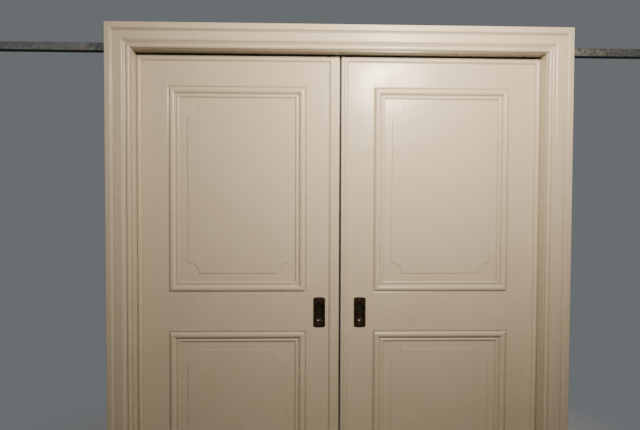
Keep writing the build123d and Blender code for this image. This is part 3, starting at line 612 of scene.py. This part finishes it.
def bare_pine(name, early="#D9B98A", late="#B0814C"):
    """Planed pine. The number of rings passed is the place across the board over their spacing,
    plus a slow noise times the bands that it may shift them by. Each ring goes from early wood to
    late wood and back."""
    material, surface = blank_material(name)
    place = node(material, "TexCoord").outputs["Object"]
    stretch = (1 / RING_DRIFT_ALONG, 1 / RING_DRIFT_ACROSS, 1 / RING_DRIFT_ACROSS)
    drawn_out = node(material, "Mapping", {"Vector": place, "Scale": stretch})
    drift = node(material, "TexNoise", {"Vector": drawn_out.outputs[0], "Scale": 1.0, "Detail": 3.0})
    sides = node(material, "SeparateXYZ", {0: place})
    across = node(material, "Math", {0: sides.outputs["Y"], 1: RING_SPACING}, operation="DIVIDE")
    bent = node(material, "Math", {
        0: drift.outputs[0], 1: RING_DRIFT_BANDS, 2: across.outputs[0],
    }, operation="MULTIPLY_ADD")
    rings = node(material, "Math", {0: bent.outputs[0], 1: 1.0}, operation="PINGPONG")
    dark = node(material, "MapRange", {
        "Value": rings.outputs[0], "From Min": 0.35, "From Max": 1.0, "To Min": 0.0, "To Max": 0.9,
    })
    tone = node(material, "Mix", {
        FACTOR: dark.outputs[0], COLOUR_A: linear(early), COLOUR_B: linear(late),
    }, data_type="RGBA")
    relief = node(material, "Bump", {"Height": rings.outputs[0], "Strength": 0.2, "Distance": RING_RELIEF})
    shader = node(material, "BsdfPrincipled", {
        "Base Color": tone.outputs[COLOUR_OUT], "Roughness": 0.62, "IOR": 1.5, "Normal": relief.outputs[0],
    })
    return finish_material(material, surface, shader)


wheel_nylon = moulded_nylon("moulded_nylon")
stop_rubber = moulded_rubber("moulded_rubber")
header_pine = bare_pine("planed_pine")

# %% [markdown]
# ## Give every solid its finish
#
# The record names a slot for each node. Painted pieces also need to know which way the brush
# went: the ones whose grain lies across the doorway take the paint that runs along X.

# %% Assign the finishes
finish_of_slot = {
    "dark_bronze": dark_bronze, "galvanised_steel": track_zinc, "zinc_hardware": bright_zinc,
    "cast_zinc": trolley_zinc, "white_nylon": wheel_nylon, "black_rubber": stop_rubber,
    "bare_pine": header_pine,
}


def paint_for(name):
    """Rails and casing heads have their grain across the doorway. The head jambs take a much darker
    paint, painted shade under the head with some dirt. The meeting stiles and edge strips take the
    paint with the painted shadow of the slit between the doors."""
    if name.startswith("head_jamb"):
        return paint_soffit_shade
    if "meeting_stile" in name or "edge_strips" in name:
        return paint_meeting_edge
    return paint_across if name.endswith(("_rail", "_head")) else paint_upright


def dress(piece, material):
    """Give a piece one material in its only slot."""
    piece.data.materials.clear()
    piece.data.materials.append(material)


for name, piece in nodes.items():
    dress(piece, finish_of_slot.get(slot_of[name]) or paint_for(name))
print("finishes:", sorted({piece.data.materials[0].name for piece in nodes.values()}))

# %% [markdown]
# ## Put the pulls and screws on the doors
#
# Each new pull stands for the plain pull of the frame, at the middle of its box, and rides on the
# same door. Nobody lines up four slots by hand, so each screw is turned a little differently.

# %% Pulls and screws in place
# How far each slot is turned from upright, in radians: front low and high, then back low and high
SLOT_TILTS = {"left": (0.35, -1.1, 1.9, 0.8), "right": (-0.6, 1.3, 0.15, -1.7)}


def middle_of(name):
    """The middle of a node's box."""
    low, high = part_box(name)
    return (np.array(low) + np.array(high)) / 2


def fit(piece, *replaced):
    """Let a piece stand for some nodes, on the body of the first."""
    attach(piece, body_of[replaced[0]])
    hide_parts(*replaced)


for door, tilts in SLOT_TILTS.items():
    shells = []
    for side, face, tilt_pair in ((1, "front", tilts[:2]), (-1, "back", tilts[2:])):
        pull_node = f"{door}_pull_{face}"
        centre = middle_of(pull_node)
        shape = set_on_face(pull_shape, centre, side)
        fit(closed_piece(f"{door}_{face}_flush_pull", [shape], dark_bronze), pull_node)
        for tilt, height in zip(tilt_pair, (-SCREW_REACH, SCREW_REACH)):
            place = centre + np.array([0, 0, height])
            shells += [set_on_face(screw_head(tilt), place, side), set_on_face(screw_shank(), place, side)]
    fit(closed_piece(f"{door}_slotted_screws", shells, dark_bronze), f"{door}_pull_screws")
    print(door, "pulls at", np.round(centre / MM).tolist(), "mm, with", len(shells) // 2, "screws")

# %% [markdown]
# ## A floor that fades out
#
# The doors stand on a plain pale floor. It is a disc that grows transparent towards its rim, so
# no horizon line cuts the picture. The fade depends on the distance from the doors alone.

# %% Floor
FLOOR_RADIUS = 3.0
FLOOR_SOLID = 0.9
FLOOR_CLEAR = 2.4


def disc(name, radius, sides=96):
    """A flat disc: its rim is radius times the cosine and sine of evenly spaced angles."""
    turn = np.linspace(0, 2 * np.pi, sides, endpoint=False)
    rim = np.stack([radius * np.cos(turn), radius * np.sin(turn), np.zeros(sides)], axis=1)
    mesh = bpy.data.meshes.new(name)
    mesh.from_pydata(rim.tolist(), [], [list(range(sides))])
    piece = bpy.data.objects.new(name, mesh)
    bpy.context.scene.collection.objects.link(piece)
    return piece


def fading_floor(name, pale="#D5D3CE"):
    """A matt pale floor, clear beyond a radius."""
    material, surface = blank_material(name)
    place = node(material, "TexCoord").outputs["Object"]
    reach = node(material, "VectorMath", {0: place}, operation="LENGTH")
    fade = node(material, "MapRange", {
        "Value": reach.outputs["Value"], "From Min": FLOOR_SOLID, "From Max": FLOOR_CLEAR,
        "To Min": 1.0, "To Max": 0.0,
    }, interpolation_type="SMOOTHSTEP")
    shader = node(material, "BsdfPrincipled", {
        "Base Color": linear(pale), "Roughness": 0.7, "Alpha": fade.outputs[0],
    })
    return finish_material(material, surface, shader)


floor = disc("floor", FLOOR_RADIUS)
dress(floor, fading_floor("pale_floor"))

# %% [markdown]
# ## Light
#
# A lamp hangs a little to the right of the middle, close to the doors and higher than the casing,
# so the upper panels are brightest and every moulding has a soft shadow under it. Two wide dim
# panels fill the front, another keeps the back readable, and the surroundings give the rest.

# %% Lights
LAMP_COLOUR = "#FFE9CC"
FILL_COLOUR = "#FFF6E8"
LAMP_SIZE = 0.28
FILL_SIZE = 2.4


def area_light(name, place, target, size, watts, colour, spread=180):
    """A square soft light at a place, aimed at a target. Its spread in degrees narrows the beam."""
    light = bpy.data.lights.new(name, "AREA")
    light.size = size
    light.energy = watts
    light.color = linear(colour)[:3]
    light.spread = math.radians(spread)
    lamp = bpy.data.objects.new(name, light)
    bpy.context.scene.collection.objects.link(lamp)
    aim = Vector(target) - Vector(place)
    lamp.matrix_world = Matrix.Translation(place) @ aim.to_track_quat("-Z", "Y").to_matrix().to_4x4()
    lamp.visible_camera = False


area_light("ceiling_lamp", (0.458, -1.6, 2.41), (0.2, 0, 2.1), LAMP_SIZE, 25.5, LAMP_COLOUR, spread=120)
area_light("left_fill", (-2.2, -3.0, 2.9), (0, 0, 1.3), FILL_SIZE, 8, FILL_COLOUR)
area_light("right_fill", (2.2, -3.0, 2.9), (0, 0, 1.3), FILL_SIZE, 3, FILL_COLOUR)
area_light("back_fill", (1.2, 3.6, 2.6), (0, 0, 1.1), FILL_SIZE, 60, FILL_COLOUR)


def grey_studio(name, backdrop="#6A6E71", light="#3A3B3C"):
    """A plain grey backdrop all round. What the eye sees of it is lighter than the light that it
    sends to the doors, because a wall behind the camera would be in the lamp's shade."""
    studio = bpy.data.worlds.new(name)
    studio.use_nodes = True
    ray = node(studio, "LightPath")
    seen = node(studio, "Mix", {
        FACTOR: ray.outputs["Is Camera Ray"], COLOUR_A: linear(light), COLOUR_B: linear(backdrop),
    }, data_type="RGBA")
    background = studio.node_tree.nodes["Background"]
    studio.node_tree.links.new(seen.outputs[COLOUR_OUT], background.inputs["Color"])
    return studio


bpy.context.scene.world = grey_studio("studio")

# %% [markdown]
# ## Camera
#
# The picture was taken standing up, a little left of the middle, with the camera tipped down by
# a degree and a half. Its forward and right directions come from the yaw and the pitch, and the
# roll turns the picture about the line of sight. The focal length is in pixels of the picture,
# and a sensor 36 mm wide turns it into the millimetres that Blender asks for.

# %% Camera
PICTURE_WIDTH = 640
FOCAL_PIXELS = 505.0
SENSOR_WIDTH = 36.0
CAMERA_PLACE = (-0.1576, -2.3236, 1.480)
YAW, PITCH, ROLL = (math.radians(angle) for angle in (1.662, -1.537, 0.195))


def camera_axes(yaw, pitch, roll):
    """Right, up and forward: forward is the sine and cosine of the yaw, each times the cosine of
    the pitch, with the sine of the pitch for its height."""
    forward = np.array([np.sin(yaw) * np.cos(pitch), np.cos(yaw) * np.cos(pitch), np.sin(pitch)])
    right = np.array([np.cos(yaw), -np.sin(yaw), 0.0])
    up = np.cross(right, forward)
    return (
        np.cos(roll) * right + np.sin(roll) * up,
        np.cos(roll) * up - np.sin(roll) * right,
        forward,
    )


right, up, forward = camera_axes(YAW, PITCH, ROLL)
camera_data = bpy.data.cameras.new("camera")
camera_data.sensor_width = SENSOR_WIDTH
camera_data.lens = FOCAL_PIXELS / PICTURE_WIDTH * SENSOR_WIDTH
camera = bpy.data.objects.new("camera", camera_data)
bpy.context.scene.collection.objects.link(camera)
turned = Matrix(np.stack([right, up, -forward], axis=1).tolist()).to_4x4()
camera.matrix_world = Matrix.Translation(CAMERA_PLACE) @ turned
bpy.context.scene.camera = camera
print("lens", round(camera_data.lens, 2), "mm")
